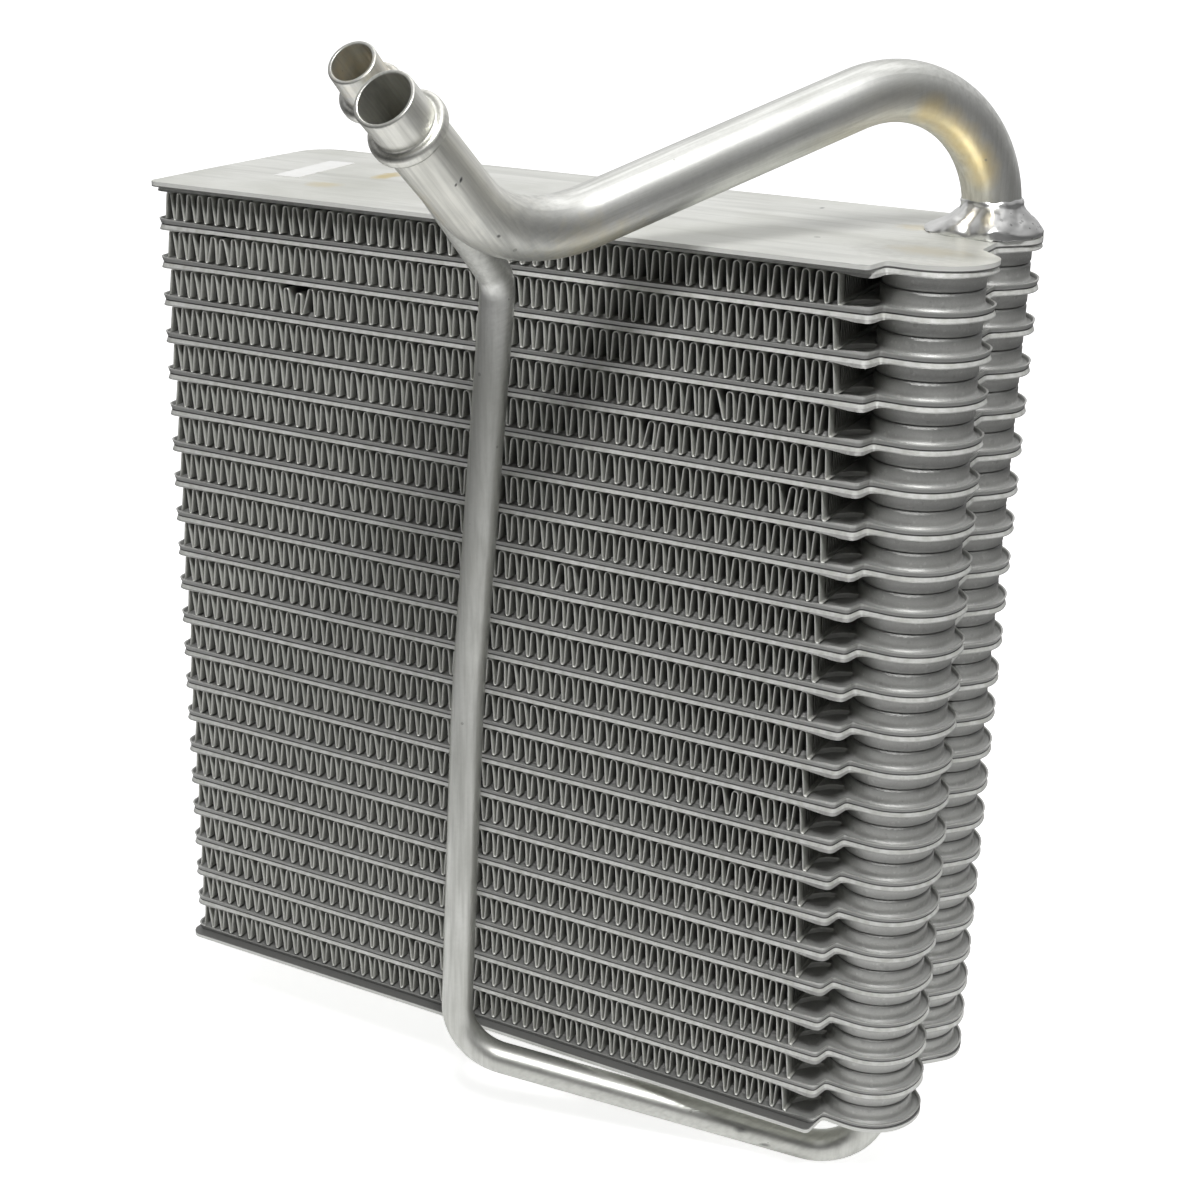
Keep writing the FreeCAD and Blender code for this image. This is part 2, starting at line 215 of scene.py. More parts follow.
def patch_effect():
    """A soft ragged patch round a point, with its own radii along X, Y and Z."""
    def build(tree, given):
        shifted = add(tree, "ShaderNodeVectorMath", {0: given["Place"], 1: given["Centre"]},
                      operation="SUBTRACT")
        scaled = add(tree, "ShaderNodeVectorMath", {0: shifted.outputs[0], 1: given["Radii"]},
                     operation="DIVIDE")
        away = add(tree, "ShaderNodeVectorMath", {0: scaled.outputs[0]}, operation="LENGTH")
        rag = noise_at(tree, given["Place"], given["Rag Scale"], 3.0)
        shift = maths(tree, "MULTIPLY", maths(tree, "SUBTRACT", rag, 0.5), given["Rag"])
        return {"Mask": ramp(tree, maths(tree, "ADD", away.outputs["Value"], shift), 1.0, 0.35)}
    inputs = {"Place": (VECTOR, None), "Centre": (VECTOR, (0.0, 0.0, 0.0)), "Radii": (VECTOR, (0.01,) * 3),
              "Rag": (FLOAT, 0.8), "Rag Scale": (FLOAT, 300.0)}
    return effect("ragged_patch", inputs, {"Mask": FLOAT}, build)


GRAIN = grain_effect()
SPECKS = speck_effect()
PATCH = patch_effect()


def surface(name, light, dark, roughness, metallic, grain_scale, relief, stretch=EVEN, finish=None):
    """A material with a fine grain in its colour, its gloss and its relief, and then its own finish."""
    material = bpy.data.materials.new(name)
    tree = tree_of(material)
    place = add(tree, "ShaderNodeTexCoord").outputs["Object"]
    grain = use(tree, GRAIN, Place=place, Stretch=stretch, Scale=grain_scale)
    shade = maths(tree, "ADD", maths(tree, "MULTIPLY", grain["Fine"], 0.5),
                  maths(tree, "MULTIPLY", grain["Coarse"], 0.5))
    base = mixed(tree, ramp(tree, shade, 0.35, 0.65), dark, light)
    rough = ramp(tree, grain["Coarse"], 0.3, 0.7, roughness - 0.06, roughness + 0.06)
    if finish:
        base, rough, metallic = finish(tree, place, base, rough, metallic)
    bumps = add(tree, "ShaderNodeBump", {"Height": grain["Fine"], "Strength": relief, "Distance": 0.2 * MM})
    shader = add(tree, "ShaderNodeBsdfPrincipled",
                 {"Base Color": base, "Roughness": rough, "Metallic": metallic,
                  "Normal": bumps.outputs[0]})
    out = add(tree, "ShaderNodeOutputMaterial")
    tree.links.new(shader.outputs[0], out.inputs["Surface"])
    return material


def grey(level, warm=0.0):
    """A grey, leaning to straw colour."""
    return (level * (1 - 0.35 * warm), level, level * (1 - 3.2 * warm), 1.0)


def ragged(tree, place, centre, radii, rag=0.9, rag_scale=330.0):
    """The mask of a ragged patch, its centre and radii in millimetres."""
    return use(tree, PATCH, Place=place, Centre=[v * MM for v in centre], Radii=[v * MM for v in radii],
               Rag=rag, Rag_Scale=rag_scale)["Mask"]


def stained(tree, place, base, stains):
    """The base with its stains, each given as centre, radii, strength and colour."""
    for centre, radii, strength, colour in stains:
        base = painted(tree, base, ragged(tree, place, centre, radii), strength, colour)
    return base


def tube_plate_finish(tree, place, base, rough, metallic):
    """Dull pressed sheet with painted shade on the upper lip and round the joint between the cups, a
    painted highlight on the lower lip, a dark seam and a dark joint line.
    """
    light = use(tree, SPECKS, Place=place, Scale=900.0, Share=0.3, Size=0.5)
    base = painted(tree, base, light["Mask"], 0.38, grey(0.8, 0.01))
    dark = use(tree, SPECKS, Place=place, Scale=600.0, Share=0.25, Size=0.45)
    base = painted(tree, base, dark["Mask"], 0.32, grey(0.2, 0.02))
    at = axes(tree, place)
    base = mixed(tree, ramp_mm(tree, at["X"], CUPS_X, CUPS_X + 6.0, 0.0, 0.35), base, grey(0.74, 0.01))
    above_seam = maths(tree, "MODULO", maths(tree, "SUBTRACT", at["Z"], END_SHEET * MM), PITCH * MM)
    from_joint = maths(tree, "ABSOLUTE", maths(tree, "SUBTRACT", above_seam, PITCH / 2 * MM))
    # painted shade: the cup walls darken over a few millimetres each side of the joint
    joint_shade = ramp_mm(tree, from_joint, 0.2, 2.6, 0.55, 0.0)
    base = mixed(tree, joint_shade, base, grey(0.08, 0.01))
    joint_line = ramp_mm(tree, from_joint, 0.15, 0.8, 0.22, 0.0)
    base = mixed(tree, joint_line, base, grey(0.05))
    # painted shade: the upper lip is darkened, as if turned away from the light
    upper_lip_painted_shade = ramp_mm(tree, above_seam, LIP - 0.2, LIP + 0.2, 1.0, 0.0)
    base = mixed(tree, upper_lip_painted_shade, base, grey(0.36, 0.01))
    # painted highlight: the lower lip is lightened, with an uneven tone, as if turned to the light
    lower_lip_painted_highlight = ramp_mm(tree, above_seam, PITCH - LIP - 0.1, PITCH - LIP + 0.1)
    uneven = ramp(tree, noise_at(tree, place, 420.0, 2.0), 0.35, 0.65)
    base = mixed(tree, lower_lip_painted_highlight, base, mixed(tree, uneven, grey(0.7, 0.02), grey(0.86, 0.01)))
    from_seam = maths(tree, "MINIMUM", above_seam, maths(tree, "SUBTRACT", PITCH * MM, above_seam))
    seam_line = ramp_mm(tree, from_seam, 0.14, 0.26, 0.9, 0.0)
    base = mixed(tree, seam_line, base, grey(0.03))
    by_fins = ramp_mm(tree, at["X"], CUPS_X - 2.0, CUPS_X + 4.0, 1.0, 0.0)
    dull = maths(tree, "MAXIMUM", maths(tree, "ADD", lower_lip_painted_highlight, upper_lip_painted_shade), by_fins)
    return base, rough, maths(tree, "SUBTRACT", metallic, maths(tree, "MULTIPLY", dull, 0.45))


WHITE = (1.0, 1.0, 1.0, 1.0)
YELLOW = (0.62, 0.5, 0.22, 1.0)
SOOT = (0.05, 0.05, 0.05, 1.0)

# Stains: centre and radii in millimetres, strength and colour
PLATE_STAINS = (
    ((-62.0, 6.2, 254.9), (4.0, 9.5, 3.0), 0.95, YELLOW),
    ((-68.0, -19.0, 254.9), (7.0, 6.0, 3.0), 0.45, YELLOW),
    ((116.0, -18.0, 254.9), (20.0, 17.0, 3.0), 0.65, (0.52, 0.52, 0.48, 1.0)),
    ((118.0, -16.0, 254.9), (13.0, 8.0, 3.0), 0.25, YELLOW),
    ((104.0, 15.0, 254.9), (6.5, 6.0, 3.0), 0.35, YELLOW),
    ((70.7, 29.5, 254.9), (0.9, 1.6, 1.0), 0.8, SOOT),
    ((104.5, -43.5, 254.6), (5.0, 0.5, 0.45), 0.7, SOOT),
    ((111.0, -43.3, 254.7), (2.4, 0.8, 0.4), 0.6, SOOT),
)
PIPE_STAINS = (
    ((50.0, -68.0, 258.0), (20.0, 24.0, 11.0), 0.35, (0.9, 0.8, 0.5, 1.0)),
    ((17.0, -120.0, 300.0), (9.0, 9.0, 7.0), 0.4, (0.9, 0.72, 0.42, 1.0)),
    ((28.0, -118.0, 272.0), (7.0, 12.0, 12.0), 0.3, (0.85, 0.7, 0.45, 1.0)),
    ((41.8, -119.8, 278.9), (0.5, 0.5, 1.0), 0.95, SOOT),
    ((41.0, -120.7, 277.9), (0.4, 0.4, 0.6), 0.9, SOOT),
    ((41.8, -103.0, 263.8), (0.45, 0.8, 0.6), 0.8, SOOT),
    ((88.0, -35.0, -12.7), (3.0, 1.5, 1.2), 0.6, SOOT),
    ((95.2, -32.7, -17.0), (2.2, 1.2, 1.0), 0.6, SOOT),
)
# The tint that the heat of welding left on the arch: points of its band
TINT_BAND = ((111.6, -4.2, 288.0), (115.0, 1.2, 284.5), (117.7, 5.4, 280.5), (120.4, 8.4, 276.5),
             (122.3, 10.6, 272.0))


def end_plate_finish(tree, place, base, rough, metallic):
    """Rolled sheet, streaked and stained, with a paler cut edge and a dark seam beside the tube plate."""
    stretched = add(tree, "ShaderNodeMapping", {"Vector": place, "Scale": (14.0, 160.0, 30.0)}).outputs[0]
    streaks = noise_at(tree, stretched, 1.0, 6.0)
    base = mixed(tree, ramp(tree, streaks, 0.48, 0.7, 0.0, 0.45), base, grey(0.42, 0.03))
    blotches = noise_at(tree, place, 24.0, 5.0)
    base = mixed(tree, ramp(tree, blotches, 0.45, 0.7, 0.0, 0.6), base, grey(0.52, 0.04))
    base = stained(tree, place, base, PLATE_STAINS)
    specks = use(tree, SPECKS, Place=place, Scale=150.0, Share=0.03, Size=0.2)
    base = painted(tree, base, specks["Mask"], 0.5, grey(0.2, 0.03))
    half = TOP / 2
    from_middle = maths(tree, "ABSOLUTE", maths(tree, "SUBTRACT", axes(tree, place)["Z"], half * MM))
    edge = ramp_mm(tree, from_middle, half - 0.08, half - 0.03, 1.0, 0.0)
    base = mixed(tree, edge, base, grey(0.8, 0.014))
    seam_line = ramp_mm(tree, from_middle, half - 1.22, half - 1.12, 0.85, 0.0)
    base = mixed(tree, seam_line, base, grey(0.04))
    return base, rough, maths(tree, "MULTIPLY", metallic, maths(tree, "SUBTRACT", 1.0, edge))


def fin_finish(tree, place, base, rough, metallic):
    """The sheet, with painted shade deeper in the core, less of it on the last leg, and a painted highlight
    along its cut edge at front and back.
    """
    at = axes(tree, place)
    depth = maths(tree, "ABSOLUTE", at["Y"])
    # painted shade: the sheet darkens with depth into the core, less so on the last leg
    painted_depth_shade = ramp_mm(tree, depth, FIN_HALF_DEPTH - 4.2, FIN_HALF_DEPTH - 0.4, 0.85, 0.0)
    last_leg = ramp_mm(tree, at["X"], FIN_LAST_X - 3.0, FIN_LAST_X - 2.0, 1.0, 0.62)
    base = painted(tree, base, painted_depth_shade, last_leg, grey(0.1, 0.02))
    # painted highlight: a pale line along the cut edge at front and back
    painted_edge_highlight = ramp_mm(tree, depth, FIN_HALF_DEPTH - 0.1, FIN_HALF_DEPTH - 0.05)
    return mixed(tree, painted_edge_highlight, base, grey(0.75, 0.01)), rough, metallic


def drawn_lines(tree, place, along):
    """Fine lines along a pipe that runs in one direction."""
    along = Vector(along).normalized()
    side = along.orthogonal().normalized()
    parts = []
    for direction, share in ((side, 1.0), (along.cross(side), 1.0), (along, 0.04)):
        parts.append(add(tree, "ShaderNodeVectorMath", {0: place, 1: direction * share},
                         operation="DOT_PRODUCT").outputs["Value"])
    turned = add(tree, "ShaderNodeCombineXYZ", {0: parts[0], 1: parts[1], 2: parts[2]})
    return noise_at(tree, turned.outputs[0], 900.0, 3.0)


def pipe_finish(tree, place, base, rough, metallic):
    """Drawn tube: lines along each stretch, cleaner near the mouths, and painted shade that darkens it
    below the top plate, on the long upright one.
    """
    at = axes(tree, place)
    slanting = drawn_lines(tree, place, (0.589, 0.735, 0.335))
    upright = drawn_lines(tree, place, (0.0, 0.0, 1.0))
    mouth = drawn_lines(tree, place, (0.0, -0.77, 0.64))
    off_middle = maths(tree, "ABSOLUTE", maths(tree, "SUBTRACT", at["X"], 65.0 * MM))
    is_upright = ramp_mm(tree, off_middle, 42.0, 52.0)
    is_mouth = ramp_mm(tree, at["Y"], -86.0, -96.0)
    lines = add(tree, "ShaderNodeMix", {0: is_upright, 2: slanting, 3: upright}).outputs[0]
    lines = add(tree, "ShaderNodeMix", {0: is_mouth, 2: lines, 3: mouth}).outputs[0]
    cleaner = ragged(tree, place, (33.0, -120.0, 284.0), (34.0, 48.0, 44.0))
    base = painted(tree, base, cleaner, 0.8, (0.99, 0.98, 0.91, 1.0))
    base = mixed(tree, ramp(tree, lines, 0.4, 0.68, 0.0, 0.4), base, grey(0.38, 0.02))
    # painted shade: the pipe darkens further down below the top plate, along its long upright stretch
    base = mixed(tree, ramp_mm(tree, at["Z"], 235.0, 215.0, 0.0, 0.5), base, grey(0.5, 0.02))
    cloud = noise_at(tree, place, 45.0, 3.0)
    base = mixed(tree, ramp(tree, cloud, 0.35, 0.75, 0.0, 0.3), base, grey(0.5, 0.03))
    base = stained(tree, place, base, PIPE_STAINS)
    heated = ragged(tree, place, (101.5, -5.7, 262.0), (34.5,) * 3, 0.12, 160.0)
    base = painted(tree, base, heated, 0.35, (0.97, 0.8, 0.4, 1.0))
    for centre in TINT_BAND:
        band = ragged(tree, place, centre, (6.0,) * 3, 0.3, 160.0)
        base = painted(tree, base, band, 0.6, (0.95, 0.76, 0.36, 1.0))
    scuffs = use(tree, SPECKS, Place=place, Scale=260.0, Share=0.06, Size=0.16)
    base = painted(tree, base, scuffs["Mask"], 0.5, grey(0.25, 0.03))
    return base, ramp(tree, lines, 0.35, 0.7, 0.36, 0.48), metallic


def weld_finish(tree, place, base, rough, metallic):
    """Bright weld metal, greyer and pitted at its outer side."""
    outer = ramp_mm(tree, axes(tree, place)["X"], 124.0, 132.0)
    base = painted(tree, base, outer, 0.55, grey(0.42))
    pits = use(tree, SPECKS, Place=place, Scale=800.0, Share=0.25, Size=0.45)
    base = painted(tree, base, maths(tree, "MULTIPLY", pits["Mask"], outer), 0.6, grey(0.16))
    return base, rough, metallic


PLATE = surface("stamped_plate", grey(0.58, 0.01), grey(0.43, 0.012), roughness=0.5, metallic=0.75,
                grain_scale=1700.0, relief=0.5, finish=tube_plate_finish)
END_PLATE = surface("end_plate", grey(0.84, 0.014), grey(0.74, 0.02), roughness=0.38, metallic=0.4,
                    grain_scale=700.0, relief=0.15, stretch=(0.3, 1.6, 1.0), finish=end_plate_finish)
FIN = surface("fin_sheet", grey(0.7, 0.02), grey(0.58, 0.025), roughness=0.46, metallic=0.4,
              grain_scale=1200.0, relief=0.15, stretch=(1.0, 0.4, 1.0), finish=fin_finish)
PIPE = surface("drawn_pipe", grey(0.88, 0.01), grey(0.76, 0.012), roughness=0.28, metallic=0.95,
               grain_scale=900.0, relief=0.1, finish=pipe_finish)
WELD = surface("weld_bead", grey(0.86, 0.004), grey(0.76, 0.006), roughness=0.3, metallic=1.0,
               grain_scale=260.0, relief=0.2, finish=weld_finish)
STICKER = surface("sticker_paper", grey(0.9, 0.004), grey(0.84, 0.01), roughness=0.6, metallic=0.0,
                  grain_scale=500.0, relief=0.05)


# Fins, made by one tree of geometry nodes

def fin_tree():
    """A corrugated strip: corners of the folds on a line, rounded, and drawn out over the depth."""
    tree = bpy.data.node_groups.new("corrugated_fin", "GeometryNodeTree")
    lengths = ("First X", "Last X", "Foot Z", "Height", "Crest Half", "Trough Half", "Front Y", "Edge",
               "Inset", "Wander", "Dent X", "Dent Reach", "Dent Push", "Dent Sag", "Louvre Pitch",
               "Louvre Inset")
    kinds = dict.fromkeys(lengths, FLOAT)
    kinds.update({"Louvre Tilt": FLOAT, "Waves": "NodeSocketInt", "Seed": "NodeSocketInt",
                  "Material": "NodeSocketMaterial"})
    for name, kind in kinds.items():
        tree.interface.new_socket(name, in_out="INPUT", socket_type=kind)
    tree.interface.new_socket("Geometry", in_out="OUTPUT", socket_type="NodeSocketGeometry")
    given = tree.nodes.new("NodeGroupInput").outputs
    leave = tree.nodes.new("NodeGroupOutput")

    def calc(operation, first, second=0.0):
        return maths(tree, operation, first, second)

    def pick(condition, when_false, when_true):
        choices = {"Switch": condition, "False": when_false, "True": when_true}
        return add(tree, "GeometryNodeSwitch", choices, input_type="FLOAT").outputs[0]

    # corner 0 and 1 stand on a trough's two sides, 2 and 3 on a crest's
    count = calc("ADD", calc("MULTIPLY", given["Waves"], 4.0), 2.0)
    line = add(tree, "GeometryNodeMeshLine", {"Count": count, "Offset": (0.0, 0.0, 0.0)})
    index = add(tree, "GeometryNodeInputIndex").outputs[0]
    corner = calc("MODULO", index, 4.0)
    fold = calc("FLOOR", calc("DIVIDE", index, 2.0))
    is_crest = calc("GREATER_THAN", corner, 1.5)
    side = calc("SUBTRACT", calc("MULTIPLY", calc("MODULO", index, 2.0), 2.0), 1.0)
    full_half = pick(is_crest, given["Trough Half"], given["Crest Half"])
    # the tips start narrower and reach their full width halfway along the strip
    half = calc("MULTIPLY", full_half, ramp(tree, fold, 0.0, FIN_WAVES, 0.72, 1.0))
    strip_length = calc("SUBTRACT", given["Last X"], given["First X"])
    step = calc("DIVIDE", strip_length, calc("MULTIPLY", given["Waves"], 2.0))
    wander = add(tree, "FunctionNodeRandomValue", {"ID": fold, "Seed": given["Seed"]}, data_type="FLOAT")
    x = calc("ADD", given["First X"], calc("MULTIPLY", fold, step))
    away = calc("ABSOLUTE", calc("SUBTRACT", x, given["Dent X"]))
    dented = ramp(tree, calc("DIVIDE", away, given["Dent Reach"]), 0.0, 1.0, 1.0, 0.0)
    swing = calc("ADD", given["Wander"], calc("MULTIPLY", dented, given["Dent Push"]))
    shift = calc("MULTIPLY", calc("SUBTRACT", wander.outputs[1], 0.5), swing)
    x = calc("ADD", calc("ADD", x, shift), calc("MULTIPLY", side, half))
    droop = add(tree, "FunctionNodeRandomValue", {"ID": fold, "Seed": calc("ADD", given["Seed"], 5.0)},
                data_type="FLOAT")
    sag = calc("MULTIPLY", calc("MULTIPLY", dented, given["Dent Sag"]), droop.outputs[1])
    z = calc("ADD", given["Foot Z"], calc("MULTIPLY", is_crest, calc("SUBTRACT", given["Height"], sag)))
    at = add(tree, "ShaderNodeCombineXYZ", {0: x, 1: calc("MULTIPLY", given["Front Y"], -1.0), 2: z})
    zigzag = add(tree, "GeometryNodeSetPosition", {"Geometry": line.outputs[0], "Position": at.outputs[0]})
    curve = add(tree, "GeometryNodeMeshToCurve", {"Mesh": zigzag.outputs[0]})
    bend = calc("MULTIPLY", full_half, 0.97)
    rounded = add(tree, "GeometryNodeFilletCurve", {"Curve": curve.outputs[0], "Radius": bend, "Count": 3},
                  mode="POLY")
    rounded.inputs["Limit Radius"].default_value = True
    strip = add(tree, "GeometryNodeCurveToMesh", {"Curve": rounded.outputs[0]}).outputs[0]
    deep = calc("SUBTRACT", calc("MULTIPLY", given["Front Y"], 2.0),
                calc("MULTIPLY", calc("ADD", given["Edge"], given["Inset"]), 2.0))
    chosen = None
    for length in (given["Edge"], given["Inset"], deep, given["Inset"], given["Edge"]):
        along = add(tree, "ShaderNodeCombineXYZ", {1: length})
        inputs = {"Mesh": strip, "Offset": along.outputs[0], "Offset Scale": 1.0}
        if chosen is not None:
            inputs["Selection"] = chosen
        drawn = add(tree, "GeometryNodeExtrudeMesh", inputs, mode="EDGES")
        strip = drawn.outputs["Mesh"]
        chosen = drawn.outputs["Top"]
    # one bank of louvres at each end, a little outside the last leg
    slat_height = calc("MULTIPLY", given["Height"], 0.78)
    slat = add(tree, "GeometryNodeMeshGrid",
               {"Size X": calc("MULTIPLY", given["Louvre Pitch"], 0.92), "Size Y": slat_height,
                "Vertices X": 2, "Vertices Y": 2})
    upright = math.pi / 2
    stand = add(tree, "ShaderNodeCombineXYZ", {0: upright, 2: calc("ADD", given["Louvre Tilt"], upright)})
    slats = calc("DIVIDE", calc("SUBTRACT", calc("MULTIPLY", given["Front Y"], 2.0),
                                calc("MULTIPLY", given["Louvre Inset"], 2.0)), given["Louvre Pitch"])
    middle = calc("ADD", given["Foot Z"], calc("MULTIPLY", given["Height"], 0.5))
    pitch = add(tree, "ShaderNodeCombineXYZ", {1: given["Louvre Pitch"]})
    parts = [strip]
    leg_share = 0.42
    stand_off = 0.4 * MM
    for end, outward in (("First X", -1.0), ("Last X", 1.0)):
        leg = calc("SUBTRACT", given[end], calc("MULTIPLY", step, outward * leg_share))
        start = add(tree, "ShaderNodeCombineXYZ",
                    {0: calc("ADD", leg, outward * stand_off),
                     1: calc("SUBTRACT", given["Louvre Inset"], given["Front Y"]), 2: middle})
        row = add(tree, "GeometryNodeMeshLine",
                  {"Count": slats, "Start Location": start.outputs[0], "Offset": pitch.outputs[0]})
        bank = add(tree, "GeometryNodeInstanceOnPoints",
                   {"Points": row.outputs[0], "Instance": slat.outputs[0], "Rotation": stand.outputs[0]})
        parts.append(bank.outputs[0])
    joined = tree.nodes.new("GeometryNodeJoinGeometry")
    for part in parts:
        tree.links.new(part, joined.inputs[0])
    smooth = add(tree, "GeometryNodeSetShadeSmooth", {"Geometry": joined.outputs[0]})
    real = add(tree, "GeometryNodeRealizeInstances", {"Geometry": smooth.outputs[0]})
    dressed = add(tree, "GeometryNodeSetMaterial",
                  {"Geometry": real.outputs[0], "Material": given["Material"]})
    tree.links.new(dressed.outputs[0], leave.inputs["Geometry"])
    return tree


def grown_mesh(name, tree, values, modifiers=()):
    """A plain mesh object from a geometry tree and the modifiers after it."""
    carrier = linked(name + "_carrier", bpy.data.meshes.new(name + "_carrier"))
    nodes = carrier.modifiers.new("shape", "NODES")
    nodes.node_group = tree
    for item in tree.interface.items_tree:
        if item.in_out == "INPUT" and item.name in values:
            nodes[item.identifier] = values[item.name]
    for kind, settings in modifiers:
        modifier = carrier.modifiers.new(kind.lower(), kind)
        for key, value in settings.items():
            setattr(modifier, key, value)
    graph = bpy.context.evaluated_depsgraph_get()
    mesh = bpy.data.meshes.new_from_object(carrier.evaluated_get(graph))
    mesh.name = name
    bpy.data.objects.remove(carrier)
    return linked(name, mesh)


# Rows whose folds are pushed about: middle along X, reach, push and sag, in millimetres
DENTS = {
    22: (-56.0, 14.0, 1.6, 0.5),
    21: (-92.0, 12.0, 1.8, 0.8),
    20: (-62.0, 8.0, 2.8, 2.2),
    19: (71.0, 8.0, 2.0, 0.7),
    18: (52.0, 7.0, 1.4, 0.5),
    17: (93.0, 6.0, 1.8, 0.6),
    14: (30.0, 12.0, 1.3, 0.6),
    9: (84.0, 12.0, 1.6, 0.8),
}


def make_fins():
    """One corrugated strip for each row, in place of its plain one."""
    tree = fin_tree()
    chance = random.Random(7)
    height = PITCH - 2 * TUBE_HALF
    slack = 0.25
    solidify = ("SOLIDIFY", {"thickness": FIN_SHEET * MM, "offset": 0.0})
    for row in range(1, ROWS + 1):
        foot = END_SHEET + (row - 1) * PITCH + TUBE_HALF
        values = {
            "First X": (FIN_FIRST_X + 0.7 + chance.uniform(-0.4, 0.4)) * MM,
            "Last X": (FIN_LAST_X - 0.9 + chance.uniform(-1.6, 0.3)) * MM,
            "Waves": FIN_WAVES,
            "Foot Z": (foot + FIN_SHEET / 2) * MM,
            "Height": (height - FIN_SHEET - slack) * MM,
            "Crest Half": 0.88 * MM,
            "Trough Half": 0.48 * MM,
            "Front Y": FIN_HALF_DEPTH * MM,
            "Edge": 1.2 * MM,
            "Inset": 3.0 * MM,
            "Wander": 0.3 * MM,
            "Louvre Pitch": 1.3 * MM,
            "Louvre Inset": 4.6 * MM,
            "Louvre Tilt": 0.45,
            "Seed": row * 13,
            "Material": FIN,
        }
        dent = DENTS.get(row, (chance.uniform(-90, 90), 12.0, 0.7, 0.4))
        for socket, value in zip(("Dent X", "Dent Reach", "Dent Push", "Dent Sag"), dent):
            values[socket] = value * MM
        piece = grown_mesh("fin_row_%02d" % row, tree, values, [solidify])
        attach(piece, "root")
        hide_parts("fin_%02d" % row)


# Welds

def smooth_table(table, angle):
    """A value round the circle from (degrees, value) pairs in rising order, eased between them."""
    turned = math.degrees(angle) % 360
    last = len(table) - 1
    for index, (start, value) in enumerate(table):
        end, following = table[index + 1] if index < last else (table[0][0] + 360, table[0][1])
        here = turned if turned >= table[0][0] else turned + 360
        if start <= here <= end:
            share = (here - start) / (end - start)
            return value + (following - value) * (1 - math.cos(math.pi * share)) / 2
    return table[0][1]


def lumps(out, angle, share, scale):
    """Noise over the surface of a weld."""
    return noise.noise(Vector((out * math.cos(angle), out * math.sin(angle), share * 9)) * scale)


def weld_flow(name, node, centre, radius, base_z, up, rise, reach, folds, collar=0.0, brim=None):
    """A hand-laid weld that has flowed from a pipe onto a plate, with lobes and creases round it.

    The reach is a table over the angle. Each fold is (degrees, swelling, half width in degrees).
    The brim is (x, y, radius) of the plate's edge, where the foot ends with a ragged gap under it.
    """
    rings = 26
    around = 144
    inner = radius - 0.25
    sunk = 0.02
    farthest = cad_box[1].x / MM - 0.05
    mesh = bmesh.new()
    loops = []
    for ring in range(rings + 1):
        share = ring / rings
        loop = []
        for step in range(around):
            angle = 2 * math.pi * step / around
            foot = smooth_table(reach, angle)
            swell = 0.0
            for degrees, amount, width in folds:
                apart = (math.degrees(angle) - degrees + 180) % 360 - 180
                swell += amount * math.exp(-(apart / width) ** 2)
            # a long foot runs out thin and flat, a short one stays round
            thin = min(max((foot - 15.0) / 4.0, 0.0), 1.0)
            rounded = (1 + math.cos(math.pi * share)) / 2
            flare = rounded + thin * ((1 - share) ** 2.4 - rounded)
            out = inner + (foot - inner) * flare
            out += swell * (foot - radius) * math.sin(math.pi * min(share / 0.84, 1.0)) ** 0.8
            # a creased wall never goes through, and thins only at its upper edge
            out = max(out, inner + 0.7 * min(1.0, (1 - share) / 0.16))
            lump = lumps(out, angle, share, 0.35)
            height = rise * (1 + 0.05 * lump) * share
            out += collar * math.exp(-((share - 0.9) / 0.07) ** 2)
            out += 0.25 * lumps(out, angle, share, 0.8) * math.sin(math.pi * share)
            if ring:
                height = max(height + 0.12 * lump, 0.3)
            x = centre[0] + out * math.cos(angle)
            y = centre[1] + out * math.sin(angle)
            # past the brim the foot is cut along the plate's edge
            if brim:
                over = math.hypot(x - brim[0], y - brim[1])
                if over > brim[2]:
                    x = brim[0] + (x - brim[0]) * brim[2] / over
                    y = brim[1] + (y - brim[1]) * brim[2] / over
                    if ring == 0:
                        height = 0.25 + 0.5 * lump
            x = min(x, farthest)
            loop.append(mesh.verts.new((x * MM, y * MM, (base_z + up * (height - sunk)) * MM)))
        loops.append(loop)
    for lower, upper in zip(loops, loops[1:]):
        for step in range(around):
            after = (step + 1) % around
            mesh.faces.new((lower[step], lower[after], upper[after], upper[step]))
    mesh.faces.new(loops[0])
    mesh.faces.new(loops[-1])
    bmesh.ops.recalc_face_normals(mesh, faces=mesh.faces)
    for face in mesh.faces:
        face.smooth = len(face.verts) == 4
    data = bpy.data.meshes.new(name)
    mesh.to_mesh(data)
    mesh.free()
    data.materials.append(WELD)
    piece = linked(name, data)
    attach(piece, "root")
    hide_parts(node)


def make_welds():
    """The welds at the feet of the two pipes, one on top and one below."""
    weld_flow("suction_weld_bead", "suction_weld", SUCTION_FOOT, SUCTION_RADIUS, TOP, 1, rise=9.6,
              reach=((0, 14.8), (45, 13.6), (95, 13.2), (150, 15.5), (180, 20.0), (205, 20.5), (235, 15.5),
                     (265, 14.6), (300, 16.9), (325, 16.6)),
              folds=((290, 0.34, 22), (262, -0.12, 8), (240, 0.2, 16), (212, -0.08, 10), (330, -0.05, 14),
                     (140, 0.14, 22), (60, 0.12, 22)),
              collar=0.3, brim=(121.4, 19.9, 15.95))
    weld_flow("liquid_weld_bead", "liquid_weld", LIQUID_FOOT, LIQUID_RADIUS, 0.0, -1, rise=3.8,
              reach=((20, 8.2), (80, 7.6), (150, 8.0), (220, 8.6), (290, 7.8)),
              folds=((300, 0.15, 20), (250, -0.15, 10), (200, 0.12, 20), (120, -0.12, 10), (40, 0.12, 20)))


def dress_frame():
    """Materials of the nodes that stay."""
    for name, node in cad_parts.items():
        if name.startswith("tube"):
            material = PLATE
        elif name.startswith("end_plate"):
            material = END_PLATE
        elif name.endswith("pipe"):
            material = PIPE
        elif name.endswith("weld"):
            material = WELD
        elif name.endswith("sticker"):
            material = STICKER
        else:
            material = FIN
        node.data.materials.clear()
        node.data.materials.append(material)


# Studio

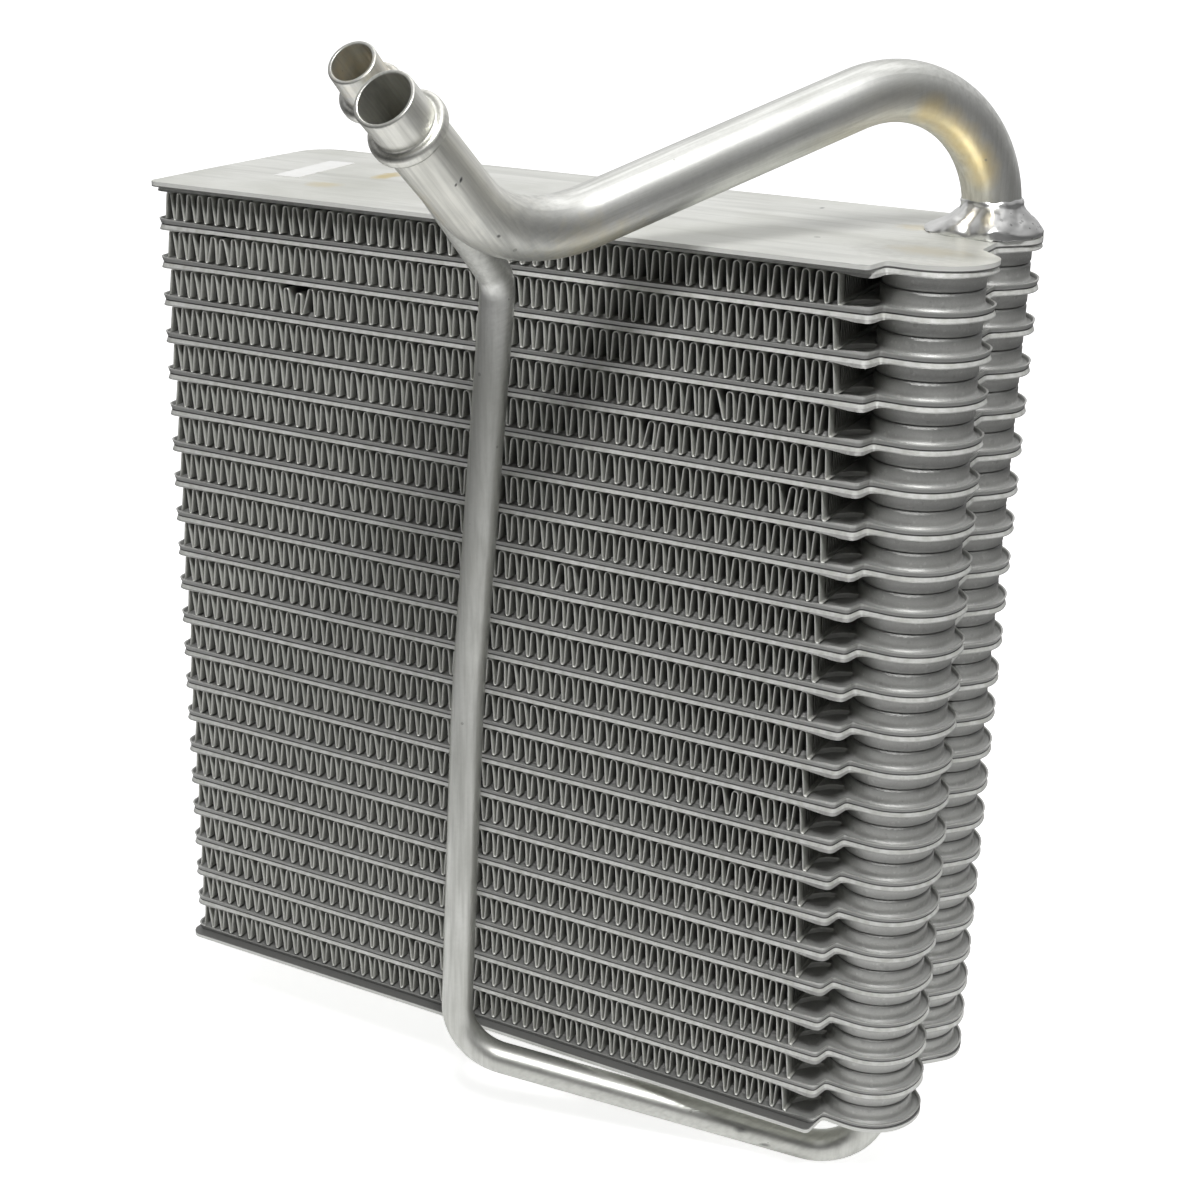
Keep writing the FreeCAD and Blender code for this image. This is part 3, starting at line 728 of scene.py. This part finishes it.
def make_camera():
    """The photo's own viewpoint, its axes solved from the plate levels and the outline."""
    data = bpy.data.cameras.new("camera")
    data.sensor_width = 36.0
    data.lens = 58.69
    data.clip_start = 0.01
    data.clip_end = 20.0
    camera = linked("camera", data)
    place = (0.2751, -0.4986, 0.3478)
    right = (0.88435, 0.46629, 0.02218)
    down = (0.18435, -0.30519, -0.93428)
    forward = (-0.42888, 0.83032, -0.35586)
    turn = Matrix((right, [-v for v in down], [-v for v in forward])).transposed()
    camera.matrix_world = Matrix.Translation(place) @ turn.to_4x4()
    bpy.context.scene.camera = camera


def make_lamp(name, place, target, size, power):
    """A soft lamp aimed at a point."""
    data = bpy.data.lights.new(name, "AREA")
    data.shape = "RECTANGLE"
    data.size, data.size_y = size
    data.energy = power
    lamp = linked(name, data)
    lamp.location = place
    lamp.rotation_euler = (Vector(target) - Vector(place)).to_track_quat("-Z", "Y").to_euler()


def make_world():
    """White behind the object for the camera; for light, a bright back wall and ceiling and a dim front."""
    world = bpy.data.worlds.new("studio")
    bpy.context.scene.world = world
    tree = tree_of(world)
    towards = axes(tree, add(tree, "ShaderNodeTexCoord").outputs["Generated"])
    wall = ramp(tree, towards["Y"], -0.35, 0.55)
    ceiling = ramp(tree, towards["Z"], 0.35, 0.85)
    back = mixed(tree, ramp(tree, towards["X"], 0.15, 0.75), grey(0.72), grey(0.22))
    tone = mixed(tree, wall, grey(0.05), back)
    overhead = mixed(tree, ramp(tree, towards["Y"], -0.6, 0.2), grey(0.12), grey(0.6))
    tone = mixed(tree, ceiling, tone, overhead)
    path = add(tree, "ShaderNodeLightPath")
    colour = mixed(tree, path.outputs["Is Camera Ray"], tone, WHITE)
    shader = add(tree, "ShaderNodeBackground", {"Color": colour, "Strength": 1.0})
    out = add(tree, "ShaderNodeOutputWorld")
    tree.links.new(shader.outputs[0], out.inputs["Surface"])


def make_floor():
    """White paper that keeps the shadow near the object and is pure white farther off."""
    size = 8.0
    level = cad_box[0].z - 0.3 * MM
    data = bpy.data.meshes.new("floor")
    corners = [(-size, -size, level), (size, -size, level), (size, size, level), (-size, size, level)]
    data.from_pydata(corners, [], [(0, 1, 2, 3)])
    floor = linked("floor", data)
    material = bpy.data.materials.new("floor_paper")
    tree = tree_of(material)
    path = add(tree, "ShaderNodeLightPath")
    place = add(tree, "ShaderNodeTexCoord").outputs["Object"]
    away = add(tree, "ShaderNodeVectorMath", {0: place}, operation="LENGTH").outputs["Value"]
    # brighter to the camera farther off, and mirrored by the object only from nearby
    seen = maths(tree, "MULTIPLY", path.outputs["Is Camera Ray"], ramp(tree, away, 0.2, 0.5, 0.74, 1.2))
    near = ramp(tree, away, 0.18, 0.36, 0.36, 0.03)
    mirrored = maths(tree, "MULTIPLY", path.outputs["Is Glossy Ray"], near)
    paper = add(tree, "ShaderNodeBsdfDiffuse", {"Color": ramp(tree, away, 0.2, 0.6, 0.8, 0.24)})
    lift = add(tree, "ShaderNodeEmission", {"Color": WHITE, "Strength": maths(tree, "ADD", seen, mirrored)})
    both = add(tree, "ShaderNodeAddShader")
    tree.links.new(paper.outputs[0], both.inputs[0])
    tree.links.new(lift.outputs[0], both.inputs[1])
    out = add(tree, "ShaderNodeOutputMaterial")
    tree.links.new(both.outputs[0], out.inputs["Surface"])
    data.materials.append(material)


def make_studio():
    """Three lamps, the surroundings and the paper under the object."""
    middle = (0.02, -0.03, 0.13)
    make_lamp("overhead", (-0.1, 0.5, 1.6), middle, (1.4, 1.0), 3.5)
    make_lamp("key", (0.44, -0.74, 1.39), middle, (0.4, 0.36), 15.0)
    make_lamp("side", (1.35, -0.75, 0.65), middle, (0.7, 0.9), 0.8)
    make_world()
    make_floor()


scene = bpy.context.scene
scene.view_settings.view_transform = "Standard"
make_camera()
dress_frame()
make_fins()
make_welds()
make_studio()
